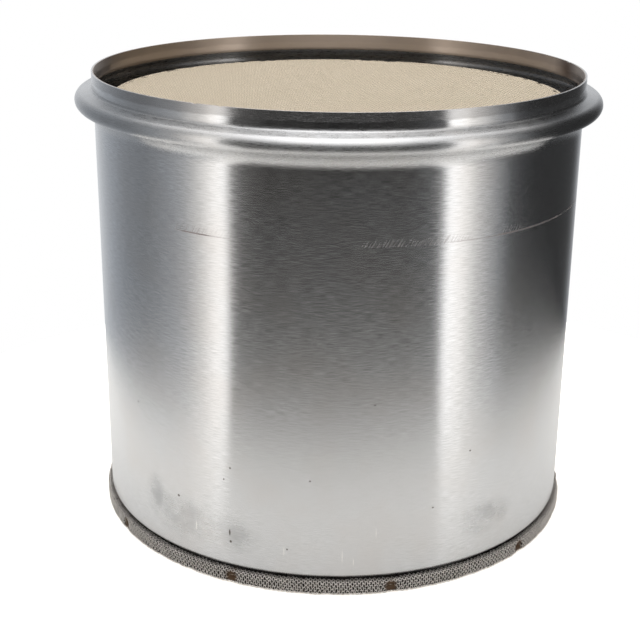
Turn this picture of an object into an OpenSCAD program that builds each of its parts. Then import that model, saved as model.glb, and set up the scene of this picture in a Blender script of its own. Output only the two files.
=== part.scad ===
// Diesel particulate filter cartridge, standing on its outlet gasket.
// The axis is +Z, the inlet is at the top, and the origin is the centre of the seat.

/* [Can] */
// Outside diameter of the body
can_od = 353; // [340:1:380]
// Thickness of the rolled sheet
sheet_t = 1.5; // [1:0.1:2]
// Height of the inlet rim above the seat
rim_z = 331; // [300:1:380]
// How far the inlet neck is expanded out of the body's line
neck_step = 1; // [0:0.25:2]
// Width of the ground seam weld
weld_w = 4; // [2:0.5:8]
// Height of the seam weld above the sheet
weld_proud = 0.35; // [0.2:0.05:0.8]
// Azimuth of the seam weld
weld_az = 11.5; // [0:0.5:360]
// Depth of the notch that the weld leaves in the rim
rim_notch = 1; // [0.5:0.1:2]

/* [Clamp bead] */
// How far the bead stands out of the body
bead_proud = 13.5; // [11:0.5:18]
// Distance from the rim down to the bead's nose
bead_drop = 19.5; // [18:0.5:30]
// Outside radius of the bead's nose
nose_r = 6; // [4:0.5:7]
// Radius where the body sweeps out into the bead
bead_fillet_r = 12; // [10:0.5:16]
// Radius between the bead and the neck
neck_fillet_r = 2; // [1.5:0.5:4]
// Slope of the bead's upper flank, from level
flank_slope = 12; // [8:1:30]

/* [Outlet end] */
// Radial step from the body in to the spigot
spigot_step = 4; // [3:0.25:4.5]
// Outside radius of the shoulder
shoulder_r = 3; // [2.5:0.5:5]
// Radius between the shoulder and the spigot
spigot_fillet_r = 1.5; // [1.5:0.5:3]
// Gap between the gasket and the shoulder above it
shoulder_gap = 1; // [0.5:0.1:3]

/* [Filter core] */
// Depth of the core's inlet face below the rim
core_recess = 19.3; // [10:0.1:40]
// Height of the core's outlet face above the seat
outlet_recess = 6.9; // [4:0.1:20]
// Distance from one channel to the next, drawn coarse
cell_pitch = 11; // [10:0.5:20]
// Thickness of the walls between channels, drawn coarse
cell_wall = 2.5; // [1.5:0.25:4]
// Least thickness of the skin round the channels
core_skin = 2; // [1:0.5:6]
// Length of the plug that closes each channel at one end
plug_depth = 12; // [6:1:25]

/* [Support mat] */
// Thickness of the mat between the core and the can
mat_t = 9.3; // [6:0.1:12]
// Depth of the mat's upper edge below the core's inlet face
mat_recess = 15; // [8:1:40]
// Width of the gap where the mat's two ends meet
mat_joint_gap = 1.5; // [1:0.5:4]
// Length of the tongue in that joint
mat_tongue = 40; // [20:5:80]

/* [Mesh gasket] */
// Height of the gasket
gasket_h = 10.7; // [9:0.1:16]
// How far the gasket stands out of the body
gasket_proud = 3.5; // [2.5:0.1:8]
// How far the gasket reaches below the end of the spigot
gasket_drop = 2.5; // [1:0.1:4]
// Corner radius of the gasket
gasket_corner_r = 2; // [1:0.1:2.5]
// Number of stitches in each row of the knit
stitch_count = 59; // [30:1:59]
// Width of the gaps between stitches
stitch_w = 1.6; // [1:0.1:2.5]
// Depth of the gaps between stitches
stitch_depth = 1.4; // [0.5:0.1:2]
// Lean of the stitches from upright
stitch_lean = 32; // [10:1:45]
// Number of spot welds round the gasket
spot_count = 10; // [6:1:16]
// Diameter of the pit at each spot weld
spot_pit_d = 5.4; // [3:0.1:7]
// Depth of each pit
spot_pit_depth = 3; // [1:0.1:4]
// Azimuth of the first spot weld
spot_az = -77.5; // [-180:0.5:180]

/* [Fits] */
// Clearance between pieces that seat on one another
fit_gap = 0.3; // [0.1:0.05:0.5]

/* [Hidden] */
$fn = 180;

// Straight steps in each rounded stretch of a section
arc_steps = 12;
// Rows of stitches up the gasket, and how much of its row a stitch fills
stitch_rows = 2;
stitch_fill = 0.8;
// Overshoot of a cut past the face that it opens
cut = 1;

can_r = can_od / 2;
bore_r = can_r - sheet_t;
neck_r = can_r + neck_step;
spigot_r = can_r - spigot_step;

// Bead: the nose, the sweep below it and the small radius above it touch one another
nose_c = [can_r + bead_proud - nose_r, rim_z - bead_drop];
sweep_x = can_r + bead_fillet_r;
sweep_rise = sqrt(pow(nose_r + bead_fillet_r, 2) - pow(sweep_x - nose_c.x, 2));
sweep_c = [sweep_x, nose_c.y - sweep_rise];
sweep_end = atan2(sweep_rise, nose_c.x - sweep_x);
flank_az = 90 - flank_slope;
neck_x = neck_r + neck_fillet_r;
neck_rise = (nose_r + neck_fillet_r - (neck_x - nose_c.x) * cos(flank_az)) / sin(flank_az);
neck_c = [neck_x, nose_c.y + neck_rise];

// Shoulder: two arcs that step the sheet in above the gasket
joggle = acos(1 - spigot_step / (shoulder_r + spigot_fillet_r));
shoulder_low_z = gasket_h + shoulder_gap;
shoulder_c = [can_r - shoulder_r, shoulder_low_z + shoulder_r * sin(joggle)];
spigot_c = [spigot_r + spigot_fillet_r, shoulder_low_z - spigot_fillet_r * sin(joggle)];

mat_outer_r = bore_r - fit_gap;
mat_inner_r = mat_outer_r - mat_t;
mat_z0 = shoulder_c.y + fit_gap;
core_r = mat_inner_r - fit_gap;
core_z0 = outlet_recess;
core_z1 = rim_z - core_recess;
mat_z1 = core_z1 - mat_recess;
mat_h = mat_z1 - mat_z0;

gasket_r = can_r + gasket_proud;
gasket_bore_r = spigot_r + fit_gap;

// Points round an arc, from angle a0 to angle a1
function arc(c, r, a0, a1) = [for (i = [0:arc_steps]) let (a = a0 + (a1 - a0) * i / arc_steps)
    c + r * [cos(a), sin(a)]];

function reversed(list) = [for (i = [len(list) - 1:-1:0]) list[i]];

// One face of the sheet from the spigot up to the rim, at a depth below the outside
function sheet_face(depth) = concat(
    [[spigot_r - depth, gasket_drop]],
    arc(spigot_c, spigot_fillet_r + depth, 180, 180 - joggle),
    arc(shoulder_c, shoulder_r - depth, -joggle, 0),
    arc(sweep_c, bead_fillet_r + depth, 180, sweep_end),
    arc(nose_c, nose_r - depth, sweep_end - 180, flank_az),
    arc(neck_c, neck_fillet_r + depth, flank_az + 180, 180),
    [[neck_r - depth, rim_z]]);

// A straight ridge of weld along the body, just thick enough to sink into the sheet
module seam_weld() {
    weld_angle = 2 * asin(weld_w / can_od);
    rotate(weld_az - weld_angle / 2)
        rotate_extrude(angle = weld_angle)
            translate([can_r - sheet_t / 2, shoulder_c.y])
                square([sheet_t / 2 + weld_proud, sweep_c.y - shoulder_c.y]);
}

module outer_can() {
    color("silver")
        difference() {
            union() {
                rotate_extrude()
                    polygon(concat(sheet_face(0), reversed(sheet_face(sheet_t))));
                seam_weld();
            }
            rotate(weld_az)
                translate([neck_r - sheet_t - cut, -weld_w / 4, rim_z - rim_notch])
                    cube([sheet_t + 2 * cut, weld_w / 2, rim_notch + cut]);
        }
}

// Runs its children at each channel of one parity whose corners stay inside the skin
module channels(parity) {
    reach = ceil(core_r / cell_pitch);
    half = (cell_pitch - cell_wall) / 2;
    for (i = [-reach:reach], j = [-reach:reach]) {
        corner = norm([abs(i) * cell_pitch + half, abs(j) * cell_pitch + half]);
        if (abs(i + j) % 2 == parity && corner < core_r - core_skin)
            translate([i * cell_pitch, j * cell_pitch])
                children();
    }
}

module filter_core() {
    side = cell_pitch - cell_wall;
    deep = core_z1 - core_z0 - plug_depth;
    color("tan")
        difference() {
            translate([0, 0, core_z0])
                cylinder(r = core_r, h = core_z1 - core_z0);
            channels(0)
                translate([-side / 2, -side / 2, core_z1 - deep])
                    cube([side, side, deep + cut]);
            channels(1)
                translate([-side / 2, -side / 2, core_z0 - cut])
                    cube([side, side, deep + cut]);
        }
}

// One slot through the mat, from z0 up to z1, set off to one side of the joint
module mat_slot(along, wide, z0, z1) {
    half = mat_tongue / 2 + mat_joint_gap;
    x0 = sqrt(pow(mat_inner_r, 2) - pow(half, 2)) - cut;
    translate([x0, along - wide / 2, z0])
        cube([mat_outer_r + cut - x0, wide, z1 - z0]);
}

module support_mat() {
    third = mat_h / 3;
    color("dimgray")
        difference() {
            translate([0, 0, mat_z0])
                cylinder(r = mat_outer_r, h = mat_h);
            translate([0, 0, mat_z0 - cut])
                cylinder(r = mat_inner_r, h = mat_h + 2 * cut);
            rotate(weld_az + 180) {
                mat_slot(-mat_tongue / 2, mat_joint_gap, mat_z0 - cut, mat_z0 + third);
                mat_slot(mat_tongue / 2, mat_joint_gap, mat_z0 + third, mat_z1 - third);
                mat_slot(-mat_tongue / 2, mat_joint_gap, mat_z1 - third, mat_z1 + cut);
                for (z = [mat_z0 + third, mat_z1 - third])
                    mat_slot(0, mat_tongue + mat_joint_gap, z - mat_joint_gap / 2, z + mat_joint_gap / 2);
            }
        }
}

// A round bar at each spot weld, pointing outwards from radius r0 to radius r1
module spot_bars(d, r0, r1) {
    for (i = [0:spot_count - 1])
        rotate(spot_az + i * 360 / spot_count)
            translate([r0, 0, gasket_h / 2])
                rotate([0, 90, 0])
                    cylinder(d = d, h = r1 - r0);
}

module gasket_section() {
    r = gasket_corner_r;
    x0 = gasket_bore_r + r;
    x1 = gasket_r - r;
    polygon(concat(
        arc([x0, r], r, 180, 270),
        arc([x1, r], r, 270, 360),
        arc([x1, gasket_h - r], r, 0, 90),
        arc([x0, gasket_h - r], r, 90, 180)));
}

module mesh_gasket() {
    row_h = (gasket_h - gasket_corner_r) / stitch_rows;
    color("gray")
        difference() {
            rotate_extrude()
                gasket_section();
            for (row = [0:stitch_rows - 1], i = [0:stitch_count - 1])
                rotate((i + row / stitch_rows) * 360 / stitch_count)
                    translate([gasket_r, 0, gasket_corner_r / 2 + row_h * (row + 0.5)])
                        rotate([row % 2 == 0 ? stitch_lean : -stitch_lean, 0, 0])
                            cube([2 * stitch_depth, stitch_w, row_h * stitch_fill], center = true);
            spot_bars(spot_pit_d, spigot_r - cut, gasket_r + cut);
        }
}

// Each nugget is pressed wire, fused to the spigot at the foot of its pit
module gasket_spot_welds() {
    color("saddlebrown")
        difference() {
            spot_bars(spot_pit_d - 2 * fit_gap, spigot_r - cut, gasket_r - spot_pit_depth);
            cylinder(r = gasket_bore_r, h = gasket_h);
        }
}

outer_can();
filter_core();
support_mat();
mesh_gasket();
gasket_spot_welds();
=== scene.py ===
# %% [markdown]
# # A diesel particulate filter cartridge
# The real object is a rolled stainless can that holds a plugged ceramic honeycomb in a fibre mat.
# It stands on a ring of knitted wire that seals its outlet.
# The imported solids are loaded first, as a fixed frame: every piece made here goes where they are.

# %% Load the frame
import math
import random

import bmesh
import bpy
from mathutils import Matrix, Vector, noise


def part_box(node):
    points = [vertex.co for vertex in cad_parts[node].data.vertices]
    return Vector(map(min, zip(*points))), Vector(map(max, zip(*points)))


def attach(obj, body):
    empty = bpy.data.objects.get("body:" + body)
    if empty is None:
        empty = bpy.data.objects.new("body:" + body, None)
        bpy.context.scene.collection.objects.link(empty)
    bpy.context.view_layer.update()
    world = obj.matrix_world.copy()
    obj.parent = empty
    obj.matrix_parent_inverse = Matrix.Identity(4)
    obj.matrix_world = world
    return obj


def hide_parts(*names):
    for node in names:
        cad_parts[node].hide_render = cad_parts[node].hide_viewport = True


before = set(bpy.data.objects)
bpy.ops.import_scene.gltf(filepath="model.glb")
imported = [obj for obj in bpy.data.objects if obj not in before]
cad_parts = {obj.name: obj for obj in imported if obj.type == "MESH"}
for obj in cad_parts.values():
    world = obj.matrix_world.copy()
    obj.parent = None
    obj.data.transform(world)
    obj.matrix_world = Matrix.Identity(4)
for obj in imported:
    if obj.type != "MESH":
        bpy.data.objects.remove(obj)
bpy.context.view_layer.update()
MM = 0.001
print("nodes:", sorted(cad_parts))

# %% [markdown]
# ## Camera
# The viewpoint comes first, because everything after it is judged through it.
# Its place and lens were fitted to the outlines of the rim, the bead and the seat in the photograph.

# %% Camera
CAMERA_AT = Vector((-11.7, -934.7, 474.3)) * MM
CAMERA_DOWN = math.radians(19.95)
CAMERA_ROLL = math.radians(0.589)
CAMERA_LENS = 71.85

camera = bpy.data.objects.new("camera", bpy.data.cameras.new("camera"))
bpy.context.scene.collection.objects.link(camera)
camera.data.lens = CAMERA_LENS
camera.data.sensor_width = 36
camera.matrix_world = (
    Matrix.Translation(CAMERA_AT)
    @ Matrix.Rotation(math.pi / 2 - CAMERA_DOWN, 4, "X")
    @ Matrix.Rotation(CAMERA_ROLL, 4, "Z")
)
bpy.context.scene.camera = camera
bpy.context.scene.view_settings.view_transform = "Standard"
print("camera at", tuple(round(c, 3) for c in camera.location))

# %% [markdown]
# ## Small helpers
# Colours are written the way a paint program shows them and turned to linear light once.
# The others add shader nodes: any node, a mix of two colours, a step of arithmetic, a change of range,
# noise with lumps of a given size, and bumps. The last two start a material and put it on its pieces.


# %% Colour and node helpers
def linear(hexa):
    """An sRGB hex colour as linear red, green, blue and alpha."""
    parts = [int(hexa[i:i + 2], 16) / 255 for i in (1, 3, 5)]
    return [c / 12.92 if c <= 0.04045 else ((c + 0.055) / 1.055) ** 2.4 for c in parts] + [1.0]


def add(tree, kind, sockets=None, **settings):
    """Adds one node. A socket takes a value, or a link from another node's output."""
    made = tree.nodes.new(kind)
    for name, value in settings.items():
        setattr(made, name, value)
    for name, value in (sockets or {}).items():
        if isinstance(value, bpy.types.NodeSocket):
            tree.links.new(value, made.inputs[name])
        else:
            made.inputs[name].default_value = value
    return made


def mix(tree, factor, a, b, **settings):
    """One colour mixed into another by a factor."""
    colours = {"Factor": factor, "A": a, "B": b}
    return add(tree, "ShaderNodeMix", colours, data_type="RGBA", **settings).outputs["Result"]


def calc(tree, operation, *values):
    """One step of arithmetic on numbers or masks."""
    return add(tree, "ShaderNodeMath", dict(enumerate(values)), operation=operation).outputs[0]


def vector_calc(tree, operation, *vectors):
    """One step of arithmetic on vectors. A length comes back as a number."""
    made = add(tree, "ShaderNodeVectorMath", dict(enumerate(vectors)), operation=operation)
    return made.outputs["Value" if operation == "LENGTH" else "Vector"]


def axes_of(tree, vector):
    """A vector's X, Y and Z."""
    return add(tree, "ShaderNodeSeparateXYZ", {"Vector": vector}).outputs


def off_axis(tree, place):
    """How far a place lies from the part's axis."""
    return vector_calc(tree, "LENGTH", vector_calc(tree, "MULTIPLY", place, (1, 1, 0)))


def ramp(tree, value, from_min, from_max, to_min=0.0, to_max=1.0, **settings):
    """A number taken from one range to another and held within it."""
    ends = {"From Min": from_min, "From Max": from_max, "To Min": to_min, "To Max": to_max}
    return add(tree, "ShaderNodeMapRange", {"Value": value, **ends}, **settings).outputs["Result"]


print("grey 50% is", round(linear("#808080")[0], 3))


# %% Noise, bumps and materials
def lumps(tree, place, sizes, detail, turn=0.0, roughness=0.5, **settings):
    """Noise whose lumps have these sizes along X, Y and Z."""
    laid = add(tree, "ShaderNodeMapping", {
        "Vector": place, "Rotation": (turn, turn, turn), "Scale": [1 / size for size in sizes]})
    made = add(tree, "ShaderNodeTexNoise", {
        "Vector": laid.outputs[0], "Scale": 1.0, "Detail": detail, "Roughness": roughness}, **settings)
    return made.outputs["Fac"]


def bumps(tree, height, strength, distance):
    """A normal that leans as a relief of this height would."""
    sockets = {"Strength": strength, "Distance": distance, "Height": height}
    return add(tree, "ShaderNodeBump", sockets).outputs[0]


def new_material(name):
    """An empty node material, its tree and the place that is being shaded."""
    material = bpy.data.materials.new(name)
    material.use_nodes = True
    tree = material.node_tree
    tree.nodes.clear()
    return material, tree, add(tree, "ShaderNodeTexCoord").outputs["Object"]


def coat(material, look, *pieces):
    """Ends a material with one shader of this look and puts it on its pieces."""
    tree = material.node_tree
    shader = add(tree, "ShaderNodeBsdfPrincipled", look)
    add(tree, "ShaderNodeOutputMaterial", {"Surface": shader.outputs[0]})
    for piece in pieces:
        piece.data.materials.append(material)


print("materials so far:", len(bpy.data.materials))

# %% [markdown]
# ## Studio
# Bright metal shows the room more than itself, so the room has to be right.
# By its reflections the real one stood on a small white table in a dim room, with a tall soft light at
# each side.
# The sky is worked out from the direction of a ray: dim behind the camera, bright at the two lights,
# and bright overhead, where a third light runs from front to back. Rays from the camera see plain white.

# %% World
# Azimuth from the camera's side in degrees towards +X, the brightness there and how warm it is
ROOM = (
    (-180, 1.05, -0.3), (-150, 0.66, -0.6), (-134, 0.46, -1), (-117, 0.31, -1), (-100, 0.262, -0.9),
    (-83, 0.385, -0.7), (-74, 0.535, -0.2), (-65.5, 0.92, 0.4), (-58, 1.5, 0.45), (-52.4, 1.7, 0.2),
    (-49.9, 0.13, 0.2), (-33, 0.038, 0.5), (0, 0.013, 0.5), (30, 0.034, 0.2), (48.4, 0.115, -0.4),
    (51, 1.82, 0.05), (58.5, 1.48, 0.45), (67, 0.8, 0.3), (76, 0.43, -0.2), (80.5, 0.3, -0.5),
    (85, 0.125, -0.5), (93, 0.06, -0.5), (102, 0.044, -0.3), (127, 0.048, -0.3), (143, 0.065, -0.3),
    (151, 0.2, -0.5), (160, 0.58, -0.5), (168, 0.85, -0.4), (180, 1.05, -0.3),
)
WARMTH = (0.065, 0, -0.085)
SKY_MIDDLE, SKY_SIDE = 2.3, 0.4
SKY_LOW, SKY_HIGH = 0.5, 0.8
# How far aside a ray goes, as the X of its direction, where the overhead light starts to dim and ends
LAMP_FULL, LAMP_END = 0.2, 0.7

world = bpy.data.worlds.new("studio")
bpy.context.scene.world = world
world.use_nodes = True
sky = world.node_tree
sky.nodes.clear()
direction = add(sky, "ShaderNodeTexCoord").outputs["Generated"]
axes = axes_of(sky, direction)
towards = calc(sky, "MULTIPLY", axes["Y"], -1.0)
azimuth = calc(sky, "ARCTAN2", axes["X"], towards)
around = ramp(sky, azimuth, -math.pi, math.pi)
room = add(sky, "ShaderNodeValToRGB", {"Fac": around})
stops = room.color_ramp.elements
while len(stops) < len(ROOM):
    stops.new(0.5)
for stop, (degrees, level, warm) in zip(stops, ROOM):
    stop.position = (degrees + 180) / 360
    stop.color = [level * (1 + warm * shift) for shift in WARMTH] + [1]
overhead = ramp(sky, axes["Z"], SKY_LOW, SKY_HIGH, interpolation_type="SMOOTHSTEP")
aside = calc(sky, "ABSOLUTE", axes["X"])
lamp = ramp(sky, aside, LAMP_FULL, LAMP_END, SKY_MIDDLE, SKY_SIDE)
dome = mix(sky, overhead, room.outputs["Color"], lamp)
rays = add(sky, "ShaderNodeLightPath")
seen = mix(sky, rays.outputs["Is Camera Ray"], dome, (1, 1, 1, 1))
background = add(sky, "ShaderNodeBackground", {"Color": seen, "Strength": 1.0})
add(sky, "ShaderNodeOutputWorld", {"Surface": background.outputs[0]})
print("room stops:", len(stops))

# %% [markdown]
# The table is a white disc. The camera sees it as white as the background, apart from the part's soft
# shadow. The metal sees it too, which is what lights the lower half of the can, but dimmer close to the
# part and out to the right.

# %% Floor
TABLE_R = 440 * MM
TABLE_ASIDE = 22 * MM
TABLE_GLOW_SEEN, TABLE_GLOW_MIRRORED = 0.8, 0.35
SHADE_NEAR, SHADE_FAR, SHADE_LEAST = 185 * MM, 300 * MM, 0.45
DIM_FROM, DIM_TO, DIM_LEAST = 130 * MM, 400 * MM, 0.48

bm = bmesh.new()
bmesh.ops.create_circle(
    bm, cap_ends=True, segments=128, radius=TABLE_R, matrix=Matrix.Translation((TABLE_ASIDE, 0, 0)))
mesh = bpy.data.meshes.new("floor")
bm.to_mesh(mesh)
bm.free()
floor = bpy.data.objects.new("floor", mesh)
bpy.context.scene.collection.objects.link(floor)
material, tree, place = new_material("white_table")
pale = add(tree, "ShaderNodeBsdfDiffuse", {"Color": linear("#ececea")})
rays = add(tree, "ShaderNodeLightPath").outputs
away = vector_calc(tree, "LENGTH", place)
shade_least = SHADE_LEAST * TABLE_GLOW_MIRRORED
shade = ramp(tree, away, SHADE_NEAR, SHADE_FAR, shade_least, TABLE_GLOW_MIRRORED)
dim = ramp(tree, axes_of(tree, place)["X"], DIM_FROM, DIM_TO, 1.0, DIM_LEAST)
lit = calc(tree, "MULTIPLY", shade, dim)
mirrored = calc(tree, "MAXIMUM", rays["Is Glossy Ray"], rays["Is Transmission Ray"])
mirrored = calc(tree, "MULTIPLY", mirrored, lit)
seen = calc(tree, "MULTIPLY", rays["Is Camera Ray"], TABLE_GLOW_SEEN)
glow = calc(tree, "MAXIMUM", seen, mirrored)
white = add(tree, "ShaderNodeEmission", {"Color": linear("#fff8ef"), "Strength": glow})
both = add(tree, "ShaderNodeAddShader", {0: pale.outputs[0], 1: white.outputs[0]})
add(tree, "ShaderNodeOutputMaterial", {"Surface": both.outputs[0]})
floor.data.materials.append(material)
print("floor radius", TABLE_R)

# %% [markdown]
# ## The can's sheet
# The real can is one strip of stainless, rolled and welded, then spun to form the bead and the shoulder.
# Its section is a chain of straights and arcs. A single vertex is extruded for a straight and spun about
# the arc's own centre for a bend, so the chain is drawn by the same moves that form the sheet.
# Spinning the chain about the axis gives the outside, and solidify gives the sheet its thickness.

# %% Sizes of the sheet
CAN_R = 176.5 * MM
SHEET_T = 1.5 * MM
NECK_STEP = 1 * MM
NOSE_R = 6 * MM
SWEEP_R = 12 * MM
NECK_FILLET_R = 2 * MM
FLANK = math.radians(90 - 12)
BEAD_DROP = 19.5 * MM
SPIGOT_STEP = 4 * MM
SHOULDER_R = 3 * MM
SPIGOT_FILLET_R = 1.5 * MM
SHOULDER_GAP = 1 * MM
AROUND = 480
SEAM_AZ = math.radians(11.5)
MERGE = 1e-6

can_low, can_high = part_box("outer_can")
gasket_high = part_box("mesh_gasket")[1]
rim_z = can_high.z
neck_r = CAN_R + NECK_STEP
bead_r = min(can_high.x, can_high.y, -can_low.x, -can_low.y)
spigot_r = CAN_R - SPIGOT_STEP
joggle = math.acos(1 - SPIGOT_STEP / (SHOULDER_R + SPIGOT_FILLET_R))
shoulder_z = gasket_high.z + SHOULDER_GAP
print("rim", round(rim_z, 4), "bead radius", round(bead_r, 4))


# %% Walk along the section
def step_to(bm, at, r, z):
    """Extrudes the chain's last vertex straight to radius r and height z."""
    end = bmesh.ops.extrude_vert_indiv(bm, verts=[at])["verts"][0]
    end.co = (r, 0, z)
    return end


def bend(bm, at, centre, turn, steps):
    """Spins the chain's last vertex about a centre. A positive turn goes from +X towards +Z."""
    made = bmesh.ops.spin(
        bm, geom=[at], cent=(centre[0], 0, centre[1]), axis=(0, -1, 0), angle=turn, steps=steps)
    return next(g for g in made["geom_last"] if isinstance(g, bmesh.types.BMVert))


def spin_round(bm, steps):
    """Spins a chain once round the part's axis and closes it."""
    bmesh.ops.remove_doubles(bm, verts=bm.verts[:], dist=MERGE)
    bmesh.ops.spin(
        bm, geom=bm.verts[:] + bm.edges[:], cent=(0, 0, 0), axis=(0, 0, 1), angle=2 * math.pi, steps=steps,
        use_merge=True)
    bmesh.ops.remove_doubles(bm, verts=bm.verts[:], dist=MERGE)
    bmesh.ops.recalc_face_normals(bm, faces=bm.faces[:])


def sheet_chain(bm):
    """The sheet's outer face from the end of the spigot up to the rim."""
    shoulder_c = (CAN_R - SHOULDER_R, shoulder_z + SHOULDER_R * math.sin(joggle))
    spigot_c = (spigot_r + SPIGOT_FILLET_R, shoulder_z - SPIGOT_FILLET_R * math.sin(joggle))
    nose_c = (bead_r - NOSE_R, rim_z - BEAD_DROP)
    across = CAN_R + SWEEP_R - nose_c[0]
    rise = math.sqrt((NOSE_R + SWEEP_R) ** 2 - across ** 2)
    sweep_c = (CAN_R + SWEEP_R, nose_c[1] - rise)
    sweep_end = math.atan2(rise, -across)
    neck_x = neck_r + NECK_FILLET_R
    neck_rise = (NOSE_R + NECK_FILLET_R - (neck_x - nose_c[0]) * math.cos(FLANK)) / math.sin(FLANK)
    neck_c = (neck_x, nose_c[1] + neck_rise)
    flank_end = Vector(neck_c) - NECK_FILLET_R * Vector((math.cos(FLANK), math.sin(FLANK)))
    at = bm.verts.new((spigot_r, 0, can_low.z))
    at = step_to(bm, at, spigot_r, spigot_c[1])
    at = bend(bm, at, spigot_c, -joggle, 6)
    at = bend(bm, at, shoulder_c, joggle, 8)
    body_low = at.co.z
    for i in range(1, 25):
        at = step_to(bm, at, CAN_R, body_low + (sweep_c[1] - body_low) * i / 24)
    at = bend(bm, at, sweep_c, sweep_end - math.pi, 14)
    at = bend(bm, at, nose_c, FLANK - sweep_end + math.pi, 20)
    at = step_to(bm, at, *flank_end)
    at = bend(bm, at, neck_c, -FLANK, 8)
    for i in range(1, 5):
        at = step_to(bm, at, neck_r, neck_c[1] + (rim_z - neck_c[1]) * i / 4)
    return body_low, sweep_c[1], neck_c[1]


def keep_piece(bm, name, slot, *replaced, sharp_deg=35):
    """Turns a bmesh into a finished piece that rides with the part."""
    for face in bm.faces:
        face.smooth = True
    for edge in bm.edges:
        if edge.is_manifold and edge.calc_face_angle(0) > math.radians(sharp_deg):
            edge.smooth = False
    mesh = bpy.data.meshes.new(name)
    bm.to_mesh(mesh)
    bm.free()
    piece = bpy.data.objects.new(name, mesh)
    bpy.context.scene.collection.objects.link(piece)
    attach(piece, "root")
    if replaced:
        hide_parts(*replaced)
    print(name, "triangles", sum(len(p.vertices) - 2 for p in mesh.polygons))
    return piece


print("shoulder turns", round(math.degrees(joggle), 1), "degrees")

# %% Spin and thicken the sheet
MIDDLE_BAND = 20 * MM

bm = bmesh.new()
body_low_z, body_high_z, neck_low_z = sheet_chain(bm)
spin_round(bm, AROUND)
outside = next(f for f in bm.faces if abs(f.calc_center_median().z - 0.5 * rim_z) < MIDDLE_BAND)
if outside.normal.dot(outside.calc_center_median()) < 0:
    bmesh.ops.reverse_faces(bm, faces=bm.faces[:])
bmesh.ops.solidify(bm, geom=bm.faces[:], thickness=SHEET_T)
radii = [v.co.xy.length for v in bm.verts if abs(v.co.z - 0.5 * rim_z) < MIDDLE_BAND]
print("sheet radii", round(min(radii), 5), round(max(radii), 5))

# %% [markdown]
# Rolled sheet is never quite true, and a bright finish shows it at once.
# The body gets a swell of about a tenth of a millimetre, the formed end gets closer ripples that only
# press inwards, and the rim gets the notch that the seam leaves and two small nicks where it was knocked.

# %% Untrue the sheet
SWELL = 0.1 * MM
SWELL_LONG = 70 * MM
SWELL_EASE = 20 * MM
# Azimuth of each dip in the rim from +X, its half width and its depth
RIM_DIPS = (
    (SEAM_AZ, 1.4 * MM, 1.0 * MM),
    (math.radians(-120.8), 2.0 * MM, 0.5 * MM),
    (math.radians(-114.9), 1.2 * MM, 0.4 * MM),
)
RIPPLE = 0.12 * MM
RIPPLE_LONG = 11 * MM
FORMED_OVER = 8 * MM


def turn_between(a, b):
    """The smaller angle from azimuth b round to azimuth a."""
    return (a - b + math.pi) % (2 * math.pi) - math.pi


for vert in bm.verts:
    at_rim = vert.co.z > rim_z - 0.01 * MM
    from_ends = min(vert.co.z - body_low_z, body_high_z - vert.co.z)
    ease = min(1, max(0, from_ends / SWELL_EASE))
    formed = min(1, max(0, (vert.co.z - body_high_z) / FORMED_OVER))
    outward = Vector((vert.co.x, vert.co.y, 0)).normalized()
    spot = outward * CAN_R + Vector((0, 0, vert.co.z))
    vert.co += outward * SWELL * ease * noise.noise(spot / SWELL_LONG)
    vert.co -= outward * RIPPLE * formed * (0.5 + 0.5 * noise.noise(spot / RIPPLE_LONG))
    if at_rim:
        for azimuth_at, half, depth in RIM_DIPS:
            gap = abs(turn_between(math.atan2(vert.co.y, vert.co.x), azimuth_at)) * neck_r
            if gap < half:
                vert.co.z -= depth
can = keep_piece(bm, "can_sheet", "stainless_sheet", "outer_can")

# %% [markdown]
# ## Seam weld
# The strip's two ends meet in a weld that was ground almost flush. What is left is a low ridge with the
# ripples of the weld pool. A flat grid is curved on to the can, crowned and rippled, and given a
# thickness that sinks into the sheet.

# %% Seam weld
WELD_W = 4 * MM
WELD_PROUD = 0.35 * MM
WELD_RIPPLE = 2.4 * MM
WELD_SINK = 0.15 * MM

bm = bmesh.new()
bmesh.ops.create_grid(bm, x_segments=6, y_segments=240, size=0.5)
for vert in bm.verts:
    across, along = vert.co.x * 2, vert.co.y + 0.5
    z = body_low_z + along * (body_high_z - body_low_z)
    ripple = 0.85 + 0.15 * math.cos(2 * math.pi * (z - 0.35 * WELD_W * across ** 2) / WELD_RIPPLE)
    r = CAN_R - WELD_SINK + (WELD_PROUD * ripple + WELD_SINK) * (1 - across ** 2)
    turn = SEAM_AZ + across * WELD_W / 2 / CAN_R
    vert.co = (r * math.cos(turn), r * math.sin(turn), z)
bmesh.ops.recalc_face_normals(bm, faces=bm.faces[:])
if bm.faces[:][0].normal.dot(Vector((math.cos(SEAM_AZ), math.sin(SEAM_AZ), 0))) < 0:
    bmesh.ops.reverse_faces(bm, faces=bm.faces[:])
bmesh.ops.solidify(bm, geom=bm.faces[:], thickness=0.5 * SHEET_T)
seam = keep_piece(bm, "seam_weld", "stainless_sheet")

# %% [markdown]
# ## Honeycomb core
# The core is extruded ceramic with some forty thousand square channels, every second one plugged at this
# end. Seen from a step away only the chequer of plugs and mouths shows. A grid of cells gives the face.
# Poking the faces of the open cells makes each mouth a small pit, which costs four triangles. The ring
# between the grid and the round skin is filled, and the skin is extruded down.
# The real cells repeat at 1.47 mm, which is too fine to show, so they are drawn a quarter larger.

# %% Core face
REAL_PITCH = 1.4665 * MM
CELL_PITCH = 1.25 * REAL_PITCH
CORE_SKIN = 1.2 * MM
MOUTH_DEEP = 1.3 * MM
CELL_TURN = math.radians(22)
SKIN_SIDES = 240
EDGE_BAND = 3.2 * MM
EDGE_WEAR = 1.1 * MM
EDGE_LONG = 4 * MM
CHIP_AT = Vector((37.8, 160.5)) * MM
CHIP_REACH = 13 * MM
CHIP_DEEP = 1.6 * MM

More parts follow.
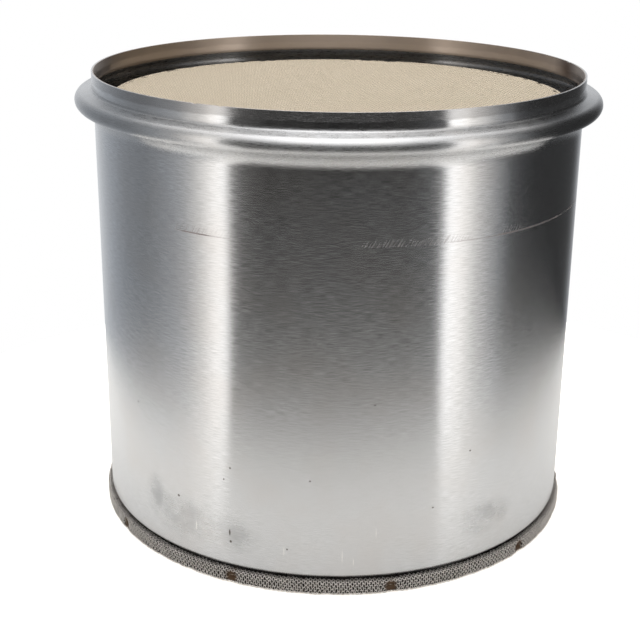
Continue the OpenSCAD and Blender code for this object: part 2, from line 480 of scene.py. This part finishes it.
core_low, core_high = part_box("filter_core")
core_r = core_high.x
face_r = core_r - CORE_SKIN
cells = 2 * math.floor(face_r / CELL_PITCH)
bm = bmesh.new()
bmesh.ops.create_grid(bm, x_segments=cells, y_segments=cells, size=cells * CELL_PITCH / 2)
spare = [f for f in bm.faces if max(v.co.xy.length for v in f.verts) > face_r]
bmesh.ops.delete(bm, geom=spare, context="FACES")
ragged = [e for e in bm.edges if e.is_boundary]
rim = bmesh.ops.create_circle(bm, segments=SKIN_SIDES, radius=core_r)["verts"]
skin = list({e for v in rim for e in v.link_edges})
bmesh.ops.triangle_fill(bm, use_beauty=True, use_dissolve=False, edges=ragged + skin)
bmesh.ops.translate(bm, vec=(0, 0, core_high.z), verts=bm.verts[:])
print("cells across", cells, "face triangles", len(bm.faces))

# %% Core mouths, skin and outlet face
mouths = []
for face in bm.faces:
    middle = face.calc_center_median()
    row, column = math.floor(middle.x / CELL_PITCH), math.floor(middle.y / CELL_PITCH)
    if len(face.verts) == 4 and (row + column) % 2 == 0:
        mouths.append(face)
if bm.faces[:][0].normal.z < 0:
    bmesh.ops.reverse_faces(bm, faces=bm.faces[:])
bmesh.ops.poke(bm, faces=mouths, offset=-MOUTH_DEEP)
bmesh.ops.rotate(bm, cent=(0, 0, 0), matrix=Matrix.Rotation(CELL_TURN, 3, "Z"), verts=bm.verts[:])
random.seed(5)
for vert in bm.verts:
    if vert.co.xy.length > core_r - EDGE_BAND:
        chipped = (vert.co.xy - CHIP_AT).length < CHIP_REACH
        deep = CHIP_DEEP * random.random() ** 2 if chipped else 0
        vert.co.z -= max(deep, EDGE_WEAR * (2 * noise.noise(vert.co / EDGE_LONG) - 0.3), 0)
skin = [e for e in bm.edges if e.is_boundary]
wall = bmesh.ops.extrude_edge_only(bm, edges=skin)["geom"]
low_ring = [g for g in wall if isinstance(g, bmesh.types.BMVert)]
for vert in low_ring:
    vert.co.z = core_low.z
low_edges = [g for g in wall if isinstance(g, bmesh.types.BMEdge) and g.is_boundary]
bmesh.ops.edgeloop_fill(bm, edges=low_edges)
bmesh.ops.recalc_face_normals(bm, faces=bm.faces[:])
core = keep_piece(bm, "honeycomb_core", "cordierite", "filter_core", sharp_deg=25)

# %% [markdown]
# ## Fibre mat
# The mat that holds the core is a thick felt of ceramic fibre. Its two ends meet in a joint with a tongue.
# A grid is wrapped round the core with one narrow column or row of faces where the joint runs. Those
# faces are deleted, the sheet is thickened, and its edges and faces are roughened as torn felt is.

# %% Mat sizes
MAT_COLUMNS = 700
MAT_ROWS_A_BAND = 6
JOINT_GAP = 1.5 * MM
TONGUE = 40 * MM
FELT_ROUGH = 0.22 * MM
FRAY = 1.2 * MM
FRAY_DEEP = 1 * MM
TUFT = 3 * MM
MAT_T = 9.3 * MM

mat_low, mat_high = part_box("support_mat")
mat_r = max(mat_high.x, mat_high.y)
joint_az = SEAM_AZ + math.pi
third = (mat_high.z - mat_low.z) / 3
levels = []
for band in range(3):
    start = mat_low.z + band * third + (JOINT_GAP / 2 if band else 0)
    end = mat_low.z + (band + 1) * third - (JOINT_GAP / 2 if band < 2 else 0)
    levels += [start + (end - start) * i / MAT_ROWS_A_BAND for i in range(MAT_ROWS_A_BAND + 1)]
tongue_columns = round(TONGUE / 2 / (2 * math.pi * mat_r / MAT_COLUMNS))
print("mat levels", len(levels), "tongue columns", tongue_columns)

# %% Wrap, cut and roughen the mat
bm = bmesh.new()
rows = len(levels) - 1
bmesh.ops.create_grid(bm, x_segments=MAT_COLUMNS, y_segments=rows, size=0.5)
slots = []
for face in bm.faces:
    middle = face.calc_center_median()
    column = math.floor((middle.x + 0.5) * MAT_COLUMNS) - MAT_COLUMNS // 2
    row = math.floor((middle.y + 0.5) * rows)
    band = row // (MAT_ROWS_A_BAND + 1)
    in_tongue = abs(column) <= tongue_columns
    is_cross = row % (MAT_ROWS_A_BAND + 1) == MAT_ROWS_A_BAND
    is_end = column == (tongue_columns if band == 1 else -tongue_columns)
    if (is_cross and in_tongue) or (is_end and not is_cross):
        slots.append(face)
bmesh.ops.delete(bm, geom=slots, context="FACES")
for vert in bm.verts:
    turn = joint_az + vert.co.x * 2 * math.pi
    z = levels[round((vert.co.y + 0.5) * rows)]
    vert.co = (mat_r * math.cos(turn), mat_r * math.sin(turn), z)
bmesh.ops.remove_doubles(bm, verts=bm.verts[:], dist=MERGE)
bmesh.ops.recalc_face_normals(bm, faces=bm.faces[:])
outside = bm.faces[:][0]
if outside.normal.dot(outside.calc_center_median()) < 0:
    bmesh.ops.reverse_faces(bm, faces=bm.faces[:])
bmesh.ops.solidify(bm, geom=bm.faces[:], thickness=MAT_T)
for vert in bm.verts:
    tuft = noise.noise_vector(vert.co / TUFT)
    vert.co += FELT_ROUGH * tuft
    if vert.co.z > mat_high.z - FRAY_DEEP:
        vert.co.z -= FRAY * (0.5 + 0.5 * tuft.z)
mat = keep_piece(bm, "fibre_mat", "fibre_mat", "support_mat", sharp_deg=60)

# %% [markdown]
# ## Knitted gasket
# The gasket is a sleeve of knitted steel wire, rolled up and pressed into a ring with rounded corners.
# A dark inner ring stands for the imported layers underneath. Over it lie the courses of the outer layer.
# Each is one wire that swings up and down once a stitch, and the next course is set half a stitch along,
# so that the two meet at their bends and leave holes between. Real wires hook through each other there.
# Ring and courses follow the same lumps, and the same dents where the ring is spot welded.

# %% Gasket sizes
GASKET_CORNER_R = 2 * MM
SPOT_COUNT = 10
SPOT_AZ = math.radians(-77.5)
DENT_WIDE = 3.5 * MM
DENT_DEEP = 3.1 * MM
LUMP = 1.0 * MM
LUMP_LONG = 9 * MM
RING_STEPS = 720
WIRE_R = 0.28 * MM

gasket_r = max(gasket_high.x, gasket_high.y)
gasket_h = gasket_high.z
gasket_bore = spigot_r + 0.3 * MM
corner = math.pi / 2 * GASKET_CORNER_R
outer_wall = gasket_h - 2 * GASKET_CORNER_R
top_wall = gasket_r - gasket_bore - 2 * GASKET_CORNER_R
print("gasket", round(gasket_r, 4), "high", round(gasket_h, 4))


def pressed_in(turn, z):
    """How far the gasket's face lies inside its true ring: its lumps and the dents of the spot welds."""
    flat = Vector((math.cos(turn), math.sin(turn), 0))
    lump = LUMP * noise.noise(flat * gasket_r / LUMP_LONG + Vector((0, 0, z / LUMP_LONG)))
    spot = SPOT_AZ + round((turn - SPOT_AZ) * SPOT_COUNT / (2 * math.pi)) * 2 * math.pi / SPOT_COUNT
    away = math.hypot((turn - spot) * gasket_r, z - gasket_h / 2)
    return max(-lump, 0) + DENT_DEEP * math.exp(-(away / DENT_WIDE) ** 2)


def on_gasket(turn, along, lift):
    """A point over the gasket: azimuth, distance along its section from the foot, height off its face."""
    x1 = gasket_r - GASKET_CORNER_R
    if along < corner:
        a = along / GASKET_CORNER_R - math.pi / 2
        r, z, lean = x1 + GASKET_CORNER_R * math.cos(a), GASKET_CORNER_R * (1 + math.sin(a)), a
    elif along < corner + outer_wall:
        r, z, lean = gasket_r, GASKET_CORNER_R + along - corner, 0
    elif along < 2 * corner + outer_wall:
        lean = (along - corner - outer_wall) / GASKET_CORNER_R
        r = x1 + GASKET_CORNER_R * math.cos(lean)
        z = gasket_h - GASKET_CORNER_R * (1 - math.sin(lean))
    else:
        r, z, lean = x1 - (along - 2 * corner - outer_wall), gasket_h, math.pi / 2
    flat = Vector((math.cos(turn), math.sin(turn), 0))
    off = lift - pressed_in(turn, z)
    return flat * (r + off * math.cos(lean)) + Vector((0, 0, max(z + off * math.sin(lean), 1.4 * WIRE_R)))


# %% Packed ring under the knit
RING_SINK = 0.95 * MM
RING_ROUGH = 0.25 * MM
RING_GRAIN = 1.6 * MM

bm = bmesh.new()
at = bm.verts.new((gasket_bore + GASKET_CORNER_R, 0, 0))
at = step_to(bm, at, gasket_r - GASKET_CORNER_R, 0)
at = bend(bm, at, (gasket_r - GASKET_CORNER_R, GASKET_CORNER_R), math.pi / 2, 5)
for i in range(1, 9):
    at = step_to(bm, at, gasket_r, GASKET_CORNER_R + outer_wall * i / 8)
at = bend(bm, at, (gasket_r - GASKET_CORNER_R, gasket_h - GASKET_CORNER_R), math.pi / 2, 5)
at = step_to(bm, at, gasket_bore + GASKET_CORNER_R, gasket_h)
at = bend(bm, at, (gasket_bore + GASKET_CORNER_R, gasket_h - GASKET_CORNER_R), math.pi / 2, 4)
at = step_to(bm, at, gasket_bore, GASKET_CORNER_R)
at = bend(bm, at, (gasket_bore + GASKET_CORNER_R, GASKET_CORNER_R), math.pi / 2, 4)
spin_round(bm, RING_STEPS)
middle_r = (gasket_bore + gasket_r) / 2
for vert in bm.verts:
    turn, r = math.atan2(vert.co.y, vert.co.x), vert.co.xy.length
    flat = Vector((math.cos(turn), math.sin(turn), 0))
    core_of_ring = flat * middle_r + Vector((0, 0, gasket_h / 2))
    inward = (core_of_ring - vert.co).normalized()
    crumple = RING_ROUGH * noise.noise(vert.co / RING_GRAIN)
    pressed = pressed_in(turn, vert.co.z) if r > middle_r else 0
    vert.co += inward * (RING_SINK + crumple + pressed)
ring = keep_piece(bm, "gasket_ring", "knitted_wire", "mesh_gasket", sharp_deg=80)

# %% Knit the courses
# A stitch is drawn about half as large again as the real one, because the real one is too fine to show
STITCH = 3.2 * MM
COURSE = 1.85 * MM
POINTS_A_STITCH = 8
STRAY = 0.42 * MM
WANDER = 0.9 * MM
# How far a wire swings, in courses, how far its bends bulge and its start strays, in stitches
SWING, BULGE, START_STRAY = 0.58, 0.1, 0.3
# How deep a wire lies and how far it weaves in and out, in wire radii
LAID_DEEP, WEAVE = 1.6, 0.9

stitches = round(2 * math.pi * gasket_r / STITCH)
knit_start = 0.35 * corner
course_total = math.floor((2 * corner + outer_wall + top_wall - knit_start) / COURSE)
random.seed(11)


def knit(name, courses):
    """One piece of knit: each course is a closed wire of bends round the gasket."""
    curve = bpy.data.curves.new(name, "CURVE")
    curve.dimensions = "3D"
    curve.bevel_depth = WIRE_R
    curve.bevel_resolution = 0
    for course in courses:
        phase = 0.5 * (course % 2) + START_STRAY * random.random()
        places = []
        for i in range(stitches * POINTS_A_STITCH):
            swing = 2 * math.pi * i / POINTS_A_STITCH
            turn = (i / POINTS_A_STITCH + phase + BULGE * math.sin(2 * swing)) / stitches * 2 * math.pi
            along = knit_start + COURSE * (course + 0.5 + SWING * math.cos(swing))
            flat = Vector((math.cos(turn), math.sin(turn), 0))
            along += WANDER * noise.noise(flat * gasket_r / LUMP_LONG) + STRAY * random.uniform(-1, 1)
            lift = -LAID_DEEP * WIRE_R + WEAVE * WIRE_R * math.cos(2 * swing)
            lift += 0.5 * STRAY * random.uniform(-1, 1)
            turn += STRAY * random.uniform(-1, 1) / gasket_r
            places.append(on_gasket(turn, max(along, 0), lift))
        spline = curve.splines.new("POLY")
        spline.points.add(len(places) - 1)
        for point, place in zip(spline.points, places):
            point.co = (*place, 1)
        spline.use_cyclic_u = True
    wire = bpy.data.objects.new(name + "_path", curve)
    bpy.context.scene.collection.objects.link(wire)
    mesh = bpy.data.meshes.new_from_object(wire.evaluated_get(bpy.context.evaluated_depsgraph_get()))
    bpy.data.objects.remove(wire)
    piece = bpy.data.objects.new(name, mesh)
    bpy.context.scene.collection.objects.link(piece)
    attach(piece, "root")
    print(name, "courses", len(courses), "triangles", sum(len(p.vertices) - 2 for p in mesh.polygons))
    return piece


half = course_total // 2
knit_outer = knit("gasket_knit_outer", range(half))
knit_top = knit("gasket_knit_top", range(half, course_total))

# %% [markdown]
# ## Spot welds
# At ten places the electrode squeezed the wires together and fused them to the spigot.
# Each nugget is a short cone with a raised rim, a dish and a small raised middle.
# So it is a cone, inset three times.

# %% Spot weld nuggets
spot_low, spot_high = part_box("gasket_spot_welds")
NUGGET_R = (spot_high.z - spot_low.z) / 2
NUGGET_INSIDE = 3 * MM
NUGGET_TAPER = 0.94
NUGGET_ROUGH, NUGGET_GRAIN = 0.22 * MM, 1.4 * MM
# Width and rise of each inset, in nugget radii
INSETS = ((0.3, 0.12), (0.2, -0.22), (0.25, 0.1))

bm = bmesh.new()
deep = gasket_r - NUGGET_INSIDE - gasket_bore
for i in range(SPOT_COUNT):
    turn = SPOT_AZ + i * 2 * math.pi / SPOT_COUNT
    place = (
        Matrix.Rotation(turn, 4, "Z")
        @ Matrix.Translation((gasket_bore + deep / 2, 0, gasket_h / 2))
        @ Matrix.Rotation(math.pi / 2, 4, "Y")
    )
    made = bmesh.ops.create_cone(
        bm, cap_ends=True, segments=20, radius1=NUGGET_R, radius2=NUGGET_TAPER * NUGGET_R, depth=deep,
        matrix=place)
    outward = Vector((math.cos(turn), math.sin(turn), 0))
    faces = {f for v in made["verts"] for f in v.link_faces}
    cap = max(faces, key=lambda f: f.calc_center_median().dot(outward))
    for wide, rise in INSETS:
        bmesh.ops.inset_region(bm, faces=[cap], thickness=wide * NUGGET_R, depth=rise * NUGGET_R)
for vert in bm.verts:
    vert.co += NUGGET_ROUGH * noise.noise_vector(vert.co / NUGGET_GRAIN)
bmesh.ops.recalc_face_normals(bm, faces=bm.faces[:])
nuggets = keep_piece(bm, "weld_nuggets", "weld_nugget", "gasket_spot_welds", sharp_deg=70)

# %% [markdown]
# ## Brushed stainless
# Sheet stainless is brushed round the can, so its grain runs level.
# Grain spreads a reflection across itself: the lights stay sharp at their sides and smear up and down.
# That is an anisotropic gloss, set by a tangent that runs round the axis.
# On top come the marks of use. They are placed on the unrolled sheet, whose coordinates are the distance
# round the can from the front and the height.

# %% Unrolled sheet
stainless, tree, place = new_material("brushed_stainless")
axes = axes_of(tree, place)
height = axes["Z"]
front = calc(tree, "MULTIPLY", axes["Y"], -1.0)
azimuth = calc(tree, "ARCTAN2", axes["X"], front)
girth = calc(tree, "MULTIPLY", azimuth, CAN_R)
unrolled = add(tree, "ShaderNodeCombineXYZ", {"X": girth, "Y": height}).outputs[0]
print("sheet unrolled to", round(2 * math.pi * CAN_R, 3))

# %% Brush grain
GRAIN_LONG, GRAIN_FINE = 8 * MM, 0.55 * MM
CLOUD = 45 * MM

grain = lumps(tree, unrolled, (GRAIN_LONG, GRAIN_FINE, 1), 3.0, roughness=0.6, noise_dimensions="2D")
brushed = ramp(tree, grain, 0.32, 0.68)
cloud = lumps(tree, place, (CLOUD, CLOUD, CLOUD), 3.0)
print("grain", GRAIN_LONG, "by", GRAIN_FINE)


# %% Marks of use
def mark(at_deg, z_mm, wide_mm, high_mm, soft=0.5):
    """A mark on the unrolled sheet: 1 inside an oval at an azimuth and height, fading to 0 at its edge."""
    centre = (math.radians(at_deg) * CAN_R, z_mm * MM, 0)
    moved = vector_calc(tree, "SUBTRACT", unrolled, centre)
    sized = vector_calc(tree, "MULTIPLY", moved, (2 / (wide_mm * MM), 2 / (high_mm * MM), 1))
    return ramp(tree, vector_calc(tree, "LENGTH", sized), 1.0, 1 - soft)


def strongest(masks):
    """The greatest of several masks."""
    top = masks[0]
    for other in masks[1:]:
        top = calc(tree, "MAXIMUM", top, other)
    return top


def times(a, b):
    """Two masks or a mask and a number, multiplied."""
    return calc(tree, "MULTIPLY", a, b)


# Azimuth from the front in degrees, height, width and height of each mark in millimetres
SPECKS = (
    (-38.1, 54.3, 2.4, 2.2), (-23.8, 87.0, 1.6, 1.8), (-25.4, 77.6, 1.4, 1.6), (-5.6, 85.0, 1.8, 1.5),
    (-10.6, 32.2, 1.6, 1.8), (-24.1, 37.9, 1.6, 6.0), (-23.9, 31.0, 2.2, 2.6), (22.0, 60.0, 1.6, 1.6),
    (8.0, 140.0, 1.4, 1.6), (-52.0, 112.0, 1.6, 2.0), (31.0, 97.0, 1.8, 1.6),
)
STAINS = (
    (-37, 38, 70, 40), (-26, 36, 64, 34), (-46, 46, 26, 40), (36, 42, 60, 30),
)
SCRATCHES = (
    (1.6, 28.8, 0.7, 12), (-11.3, 30.4, 0.8, 10), (4.1, 24, 0.7, 7), (9, 46, 0.6, 9), (-33, 36, 1.2, 9),
)
BLOTCH_WIDE, BLOTCH_HIGH = 16 * MM, 11 * MM

specks = strongest([mark(*m) for m in SPECKS])
stains = strongest([mark(*m, soft=0.7) for m in STAINS])
scratches = strongest([mark(*m) for m in SCRATCHES])
blotch = lumps(tree, unrolled, (BLOTCH_WIDE, BLOTCH_HIGH, 1), 4.0)
stains = times(stains, ramp(tree, blotch, 0.25, 0.65))
print("marks:", len(SPECKS) + len(STAINS) + len(SCRATCHES))

# %% [markdown]
# A clamp band once rubbed a ring of short slanted scratches into the body. The ring isn't quite level.
# At the right, and for a stretch at the left, its lower edge is one thin line. The ring is broken where the
# band didn't touch.

# %% Scuffed ring
SCUFF_Z = 247.2 * MM
SCUFF_FALL = -0.005
SCUFF_HIGH = 6 * MM
SCUFF_LINE = 0.55 * MM
TICK_APART, TICK_LONG = 1.1 * MM, 3 * SCUFF_HIGH
TICK_LEAN = -0.6
TOUCH_LONG = 22 * MM
LINE_SHOWS, TICKS_SHOW = 0.9, 0.5
# Azimuth, height, width and height of the stretches where the line and the scratches show
LINED = ((60, 246, 235, 50), (-30, 248, 44, 40))
TICKED = ((-30.5, 249, 56, 40), (15, 248, 96, 40), (39.5, 249, 30, 40))

fall = calc(tree, "MULTIPLY_ADD", girth, SCUFF_FALL, SCUFF_Z)
above = calc(tree, "SUBTRACT", height, fall)
line = ramp(tree, calc(tree, "ABSOLUTE", above), SCUFF_LINE, 0.3 * SCUFF_LINE)
leant = calc(tree, "MULTIPLY_ADD", above, TICK_LEAN, girth)
leaning = add(tree, "ShaderNodeCombineXYZ", {"X": leant, "Y": above}).outputs[0]
tick = lumps(tree, leaning, (TICK_APART, TICK_LONG, 1), 1.0, noise_dimensions="2D")
ticks = ramp(tree, tick, 0.5, 0.66)
band = ramp(tree, above, SCUFF_HIGH, 0.0)
over_line = calc(tree, "GREATER_THAN", above, -SCUFF_LINE)
slanted = times(times(ticks, band), over_line)
touch = lumps(tree, unrolled, (TOUCH_LONG, math.inf, 1), 2.0, noise_dimensions="2D")
broken = ramp(tree, touch, 0.36, 0.56, 0.25)
lined = times(strongest([mark(*m, soft=0.4) for m in LINED]), line)
ticked = times(strongest([mark(*m, soft=0.6) for m in TICKED]), slanted)
scuff = times(strongest([times(lined, LINE_SHOWS), times(ticked, TICKS_SHOW)]), broken)
print("scuffed ring at", SCUFF_Z)

# %% [markdown]
# Exhaust has tinted the inside of the neck straw, and by the seam it is brown. The lip is worn dull along a
# wavy edge, and the bead is greyed towards its sides, away from the front, as painted shade.

# %% Heat tint, worn lip and painted shade on the bead's sides
NECK_DEEP = 22 * MM
# Height, width and height of the seam's tint in millimetres
SEAM_TINT = (326, 46, 40)
LIP_WORN, LIP_WAVE, LIP_SOFT = 6 * MM, 3 * MM, 0.6 * MM
# Azimuth from the front where the bead's painted shade starts and is full, and its strength at the front
# and at the sides
SIDE_SHADE_FROM, SIDE_SHADE_TO = math.radians(38), math.radians(60)
SIDE_SHADE_FRONT, SIDE_SHADE_SIDE = 0.05, 0.45

inner = calc(tree, "LESS_THAN", off_axis(tree, place), neck_r - 0.6 * SHEET_T)
at_neck = calc(tree, "GREATER_THAN", height, rim_z - NECK_DEEP)
inside = times(inner, at_neck)
seam_front = math.degrees(SEAM_AZ) + 90
burn = times(inside, mark(seam_front, *SEAM_TINT, soft=0.9))
lip_wave = calc(tree, "MULTIPLY_ADD", blotch, LIP_WAVE, -0.5 * LIP_WAVE)
lip_high = calc(tree, "ADD", height, lip_wave)
worn_lip = ramp(tree, lip_high, rim_z - LIP_WORN - LIP_SOFT, rim_z - LIP_WORN + LIP_SOFT)
round_from_front = calc(tree, "ABSOLUTE", azimuth)
sides = ramp(tree, round_from_front, SIDE_SHADE_FROM, SIDE_SHADE_TO, SIDE_SHADE_FRONT, SIDE_SHADE_SIDE)
on_bead = ramp(tree, height, body_high_z, body_high_z + FORMED_OVER)
under_neck = calc(tree, "LESS_THAN", height, neck_low_z)
# Painted shade: the bead below the neck is greyed towards its sides
bead_side_shade = times(times(sides, on_bead), under_neck)
print("seam tint at", seam_front, "degrees from the front, worn lip", LIP_WORN)

# %% Stainless shader
ROUGH_LEAST, ROUGH_MOST = 0.2, 0.25
BEAD_DULL, NECK_BRIGHT = 0.06, 0.07
WARM_MOST = 0.5
SCUFF_DULL = 0.85

on_neck = ramp(tree, height, neck_low_z - 0.5 * MM, neck_low_z + 1 * MM)
# The mask, strength and colour of each layer over the bare sheet, the lowest first
layers = (
    (bead_side_shade, 1.0, "#6d6b6a"),
    (worn_lip, 0.35, "#7b7673"),
    (inside, 0.8, "#c6b5a7"),
    (burn, 0.85, "#5a3d29"),
    (stains, 0.17, "#8f8d8b"),
    (specks, 0.9, "#4d4238"),
    (scratches, 0.6, "#f4f2ee"),
    (scuff, 0.9, "#a08c88"),
)
# What forming and wear add to the roughness of the grain
rougher = (
    (on_bead, BEAD_DULL),
    (on_neck, -BEAD_DULL - NECK_BRIGHT),
    (worn_lip, 0.1),
    (inside, 0.16),
    (scuff, 0.3),
    (stains, 0.12),
)
tone = mix(tree, brushed, linear("#c5c5c5"), linear("#d9d9da"))
warm = ramp(tree, cloud, 0.45, 0.75, 0.0, WARM_MOST)
tone = mix(tree, warm, tone, linear("#ccc8c5"))
for mask, strength, colour in layers:
    tone = mix(tree, times(mask, strength), tone, linear(colour))
rough = ramp(tree, brushed, 0.0, 1.0, ROUGH_LEAST, ROUGH_MOST)
for mask, more in rougher:
    rough = calc(tree, "MULTIPLY_ADD", mask, more, rough)
bare = calc(tree, "MULTIPLY_ADD", scuff, -SCUFF_DULL, 1.0)
tangent = add(tree, "ShaderNodeTangent", direction_type="RADIAL", axis="Z")
coat(stainless, {
    "Base Color": tone, "Metallic": bare, "Roughness": rough,
    "Anisotropic": 1.0, "Anisotropic Rotation": 0.25, "Tangent": tangent.outputs[0],
    "Normal": bumps(tree, grain, 0.3, 0.02 * MM)}, can)
print("stainless layers", len(layers))

# %% [markdown]
# The seam weld itself was left duller than the sheet, with a straw and brown tint.

# %% Weld finish
SEAM_MOTTLE = 6 * MM

material, tree, place = new_material("ground_weld")
tint = lumps(tree, place, (SEAM_MOTTLE, SEAM_MOTTLE, SEAM_MOTTLE), 4.0)
tone = mix(tree, tint, linear("#8a7a6a"), linear("#c2bcb4"))
rough = ramp(tree, tint, 0.0, 1.0, 0.32, 0.5)
coat(material, {"Base Color": tone, "Metallic": 1.0, "Roughness": rough}, seam)
print("weld mottled at", SEAM_MOTTLE)

# %% [markdown]
# ## Fired cordierite
# Cordierite fires to a matt cream. Real plugs have the colour of the walls. Here the inside of every cell
# is drawn darker than the wall tops as painted shade, so that the fine cells show, and the mouths get more
# painted shade as they go down. The outlet face is flat here, so its chequer of mouths is painted shade.

# %% Cordierite
CREAM_CLOUD, GRIT = 30 * MM, 1.1 * MM
# How far from the line between two cells a wall starts to fade and ends, in cells
WALL_FULL, WALL_END = 0.14, 0.24
SHADE_FROM, SHADE_TO = 0.05 * MM, 0.6 * MM
INLET_BAND, OUTLET_BAND = 1.5 * MM, 0.1 * MM

material, tree, place = new_material("fired_cordierite")
height = axes_of(tree, place)["Z"]
cloud = lumps(tree, place, (CREAM_CLOUD, CREAM_CLOUD, CREAM_CLOUD), 5.0)
grit = lumps(tree, place, (GRIT, GRIT, GRIT), 2.0)
cream = mix(tree, cloud, linear("#e8dece"), linear("#f6ede0"))
gritty = mix(tree, grit, linear("#e7dfd2"), cream)
turned = add(tree, "ShaderNodeVectorRotate", {
    "Vector": place, "Angle": -CELL_TURN}, rotation_type="Z_AXIS").outputs[0]
cell_at = add(tree, "ShaderNodeMapping", {
    "Vector": turned, "Scale": (1 / CELL_PITCH, 1 / CELL_PITCH, 0)}).outputs[0]
cell = axes_of(tree, cell_at)
walls = []
for axis in ("X", "Y"):
    to_wall = calc(tree, "PINGPONG", cell[axis], 0.5)
    walls.append(ramp(tree, to_wall, WALL_END, WALL_FULL))
# Painted shade: the inside of every cell, plug or mouth, is dark and the wall tops pale
cell_shade = mix(tree, strongest(walls), linear("#5a4f3e"), linear("#fff9ee"))
ribbed = mix(tree, 1.0, gritty, cell_shade, blend_type="MULTIPLY")
chequer = add(tree, "ShaderNodeTexChecker", {
    "Vector": cell_at, "Scale": 1.0, "Color1": (1, 1, 1, 1), "Color2": (0, 0, 0, 1)}).outputs["Fac"]
outlet_face = calc(tree, "LESS_THAN", height, core_low.z + OUTLET_BAND)
inlet_face = calc(tree, "GREATER_THAN", height, core_high.z - INLET_BAND)
# Painted shade that deepens down each inlet mouth, and the outlet's open cells drawn as squares of painted
# shade
depth = ramp(tree, height, core_high.z - SHADE_FROM, core_high.z - SHADE_TO)
mouth_shade = strongest([times(depth, inlet_face), times(chequer, outlet_face)])
tone = mix(tree, mouth_shade, ribbed, linear("#2b2620"))
coat(material, {
    "Base Color": tone, "Roughness": 0.9, "Specular IOR Level": 0.2,
    "Normal": bumps(tree, grit, 0.3, 0.1 * MM)}, core)
print("cordierite cells", CELL_PITCH)

# %% [markdown]
# ## Felted fibre
# The mat is a felt of fine ceramic fibres, grey with soot. Stretched noise in two directions reads as
# fibres that lie at random in the sheet.

# %% Felt
FIBRE_LONG, FIBRE_FINE = 9 * MM, 0.6 * MM
FIBRE_TURNS = (0.5, -0.7)

material, tree, place = new_material("ceramic_fibre_felt")
fibre = (FIBRE_LONG, FIBRE_FINE, FIBRE_FINE)
weave = strongest([lumps(tree, place, fibre, 3.0, turn=turn) for turn in FIBRE_TURNS])
tone = mix(tree, weave, linear("#1d1b19"), linear("#5b5650"))
coat(material, {
    "Base Color": tone, "Roughness": 1.0, "Specular IOR Level": 0.1,
    "Sheen Weight": 0.2, "Normal": bumps(tree, weave, 0.8, 0.4 * MM)}, mat)
print("felt fibres", FIBRE_FINE)

# %% [markdown]
# ## Knitted wire
# The wires are drawn stainless, dulled and faintly browned by exhaust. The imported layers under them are
# the same wire seen deep in shade, so they are darker and mottled at the size of a stitch.


# %% Singed wire
def singed(tree, place, far, near, most):
    """A mask round each spot weld, from nothing at the far radius to the most at the near one."""
    axes = axes_of(tree, place)
    azimuth = calc(tree, "ARCTAN2", axes["Y"], axes["X"])
    turn = calc(tree, "SUBTRACT", azimuth, SPOT_AZ)
    turn = calc(tree, "PINGPONG", turn, math.pi / SPOT_COUNT)
    sideways = calc(tree, "MULTIPLY", turn, gasket_r)
    upward = calc(tree, "SUBTRACT", axes["Z"], gasket_h / 2)
    apart = add(tree, "ShaderNodeCombineXYZ", {"X": sideways, "Y": upward}).outputs[0]
    return ramp(tree, vector_calc(tree, "LENGTH", apart), far, near, 0.0, most)


SINGED = (2.2 * NUGGET_R, 1.1 * NUGGET_R, 0.9)
print("singed within", round(SINGED[0], 5))

# %% Wire finishes
WIRE_MOTTLE = 12 * MM
PACK_MOTTLE = STITCH / 1.3
# How deep under the gasket's true face painted shade starts to show and is at its most, and how dark it
# gets
WIRE_SHADE_FROM, WIRE_SHADE_TO, WIRE_SHADE_MOST = 1.2 * MM, 3.2 * MM, 0.4

material, tree, place = new_material("drawn_wire")
tint = lumps(tree, place, (WIRE_MOTTLE, WIRE_MOTTLE, WIRE_MOTTLE), 4.0)
tone = mix(tree, tint, linear("#d0c9c2"), linear("#efeae5"))
tone = mix(tree, singed(tree, place, *SINGED), tone, linear("#7d6349"))
# Painted shade on wires that lie deep, under the can's shoulder and in the dents
deep_wire_shade = ramp(tree, off_axis(tree, place), gasket_r - WIRE_SHADE_FROM, gasket_r - WIRE_SHADE_TO, 0.0, WIRE_SHADE_MOST)
tone = mix(tree, deep_wire_shade, tone, linear("#4f4741"))
coat(material, {"Base Color": tone, "Metallic": 0.5, "Roughness": 0.36}, knit_outer, knit_top)

material, tree, place = new_material("packed_wire")
pack = lumps(tree, place, (PACK_MOTTLE, PACK_MOTTLE, PACK_MOTTLE), 3.0)
tone = mix(tree, ramp(tree, pack, 0.4, 0.65), linear("#2a2623"), linear("#625b55"))
tone = mix(tree, singed(tree, place, *SINGED), tone, linear("#5a4531"))
coat(material, {
    "Base Color": tone, "Metallic": 0.6, "Roughness": 0.6,
    "Normal": bumps(tree, pack, 0.9, 0.5 * MM)}, ring)
print("wire mottled at", WIRE_MOTTLE, "and", round(PACK_MOTTLE, 5))

# %% [markdown]
# ## Heat tinted nuggets
# A spot weld burns the wires straw, brown and nearly black. The tint is mottled at about a millimetre. The
# raised middle is painted paler as a painted highlight, and the rim darker, as heat tint with painted
# shade.

# %% Nugget finish
NUGGET_MOTTLE = 1.5 * MM
NUGGET_HIGHLIGHT = (0.75 * NUGGET_R, 0.4 * NUGGET_R, 1.0)

material, tree, place = new_material("heat_tinted_weld")
tint = lumps(tree, place, (NUGGET_MOTTLE, NUGGET_MOTTLE, NUGGET_MOTTLE), 3.0)
tone = mix(tree, ramp(tree, tint, 0.4, 0.62), linear("#8f7257"), linear("#e2d3c2"))
# Painted highlight on the raised middle, over a rim that is heat tint with painted shade
tone = mix(tree, singed(tree, place, *NUGGET_HIGHLIGHT), linear("#33251a"), tone)
coat(material, {
    "Base Color": tone, "Metallic": 0.4, "Roughness": 0.5,
    "Normal": bumps(tree, tint, 0.6, 0.3 * MM)}, nuggets)
print("nugget radius", round(NUGGET_R, 5))
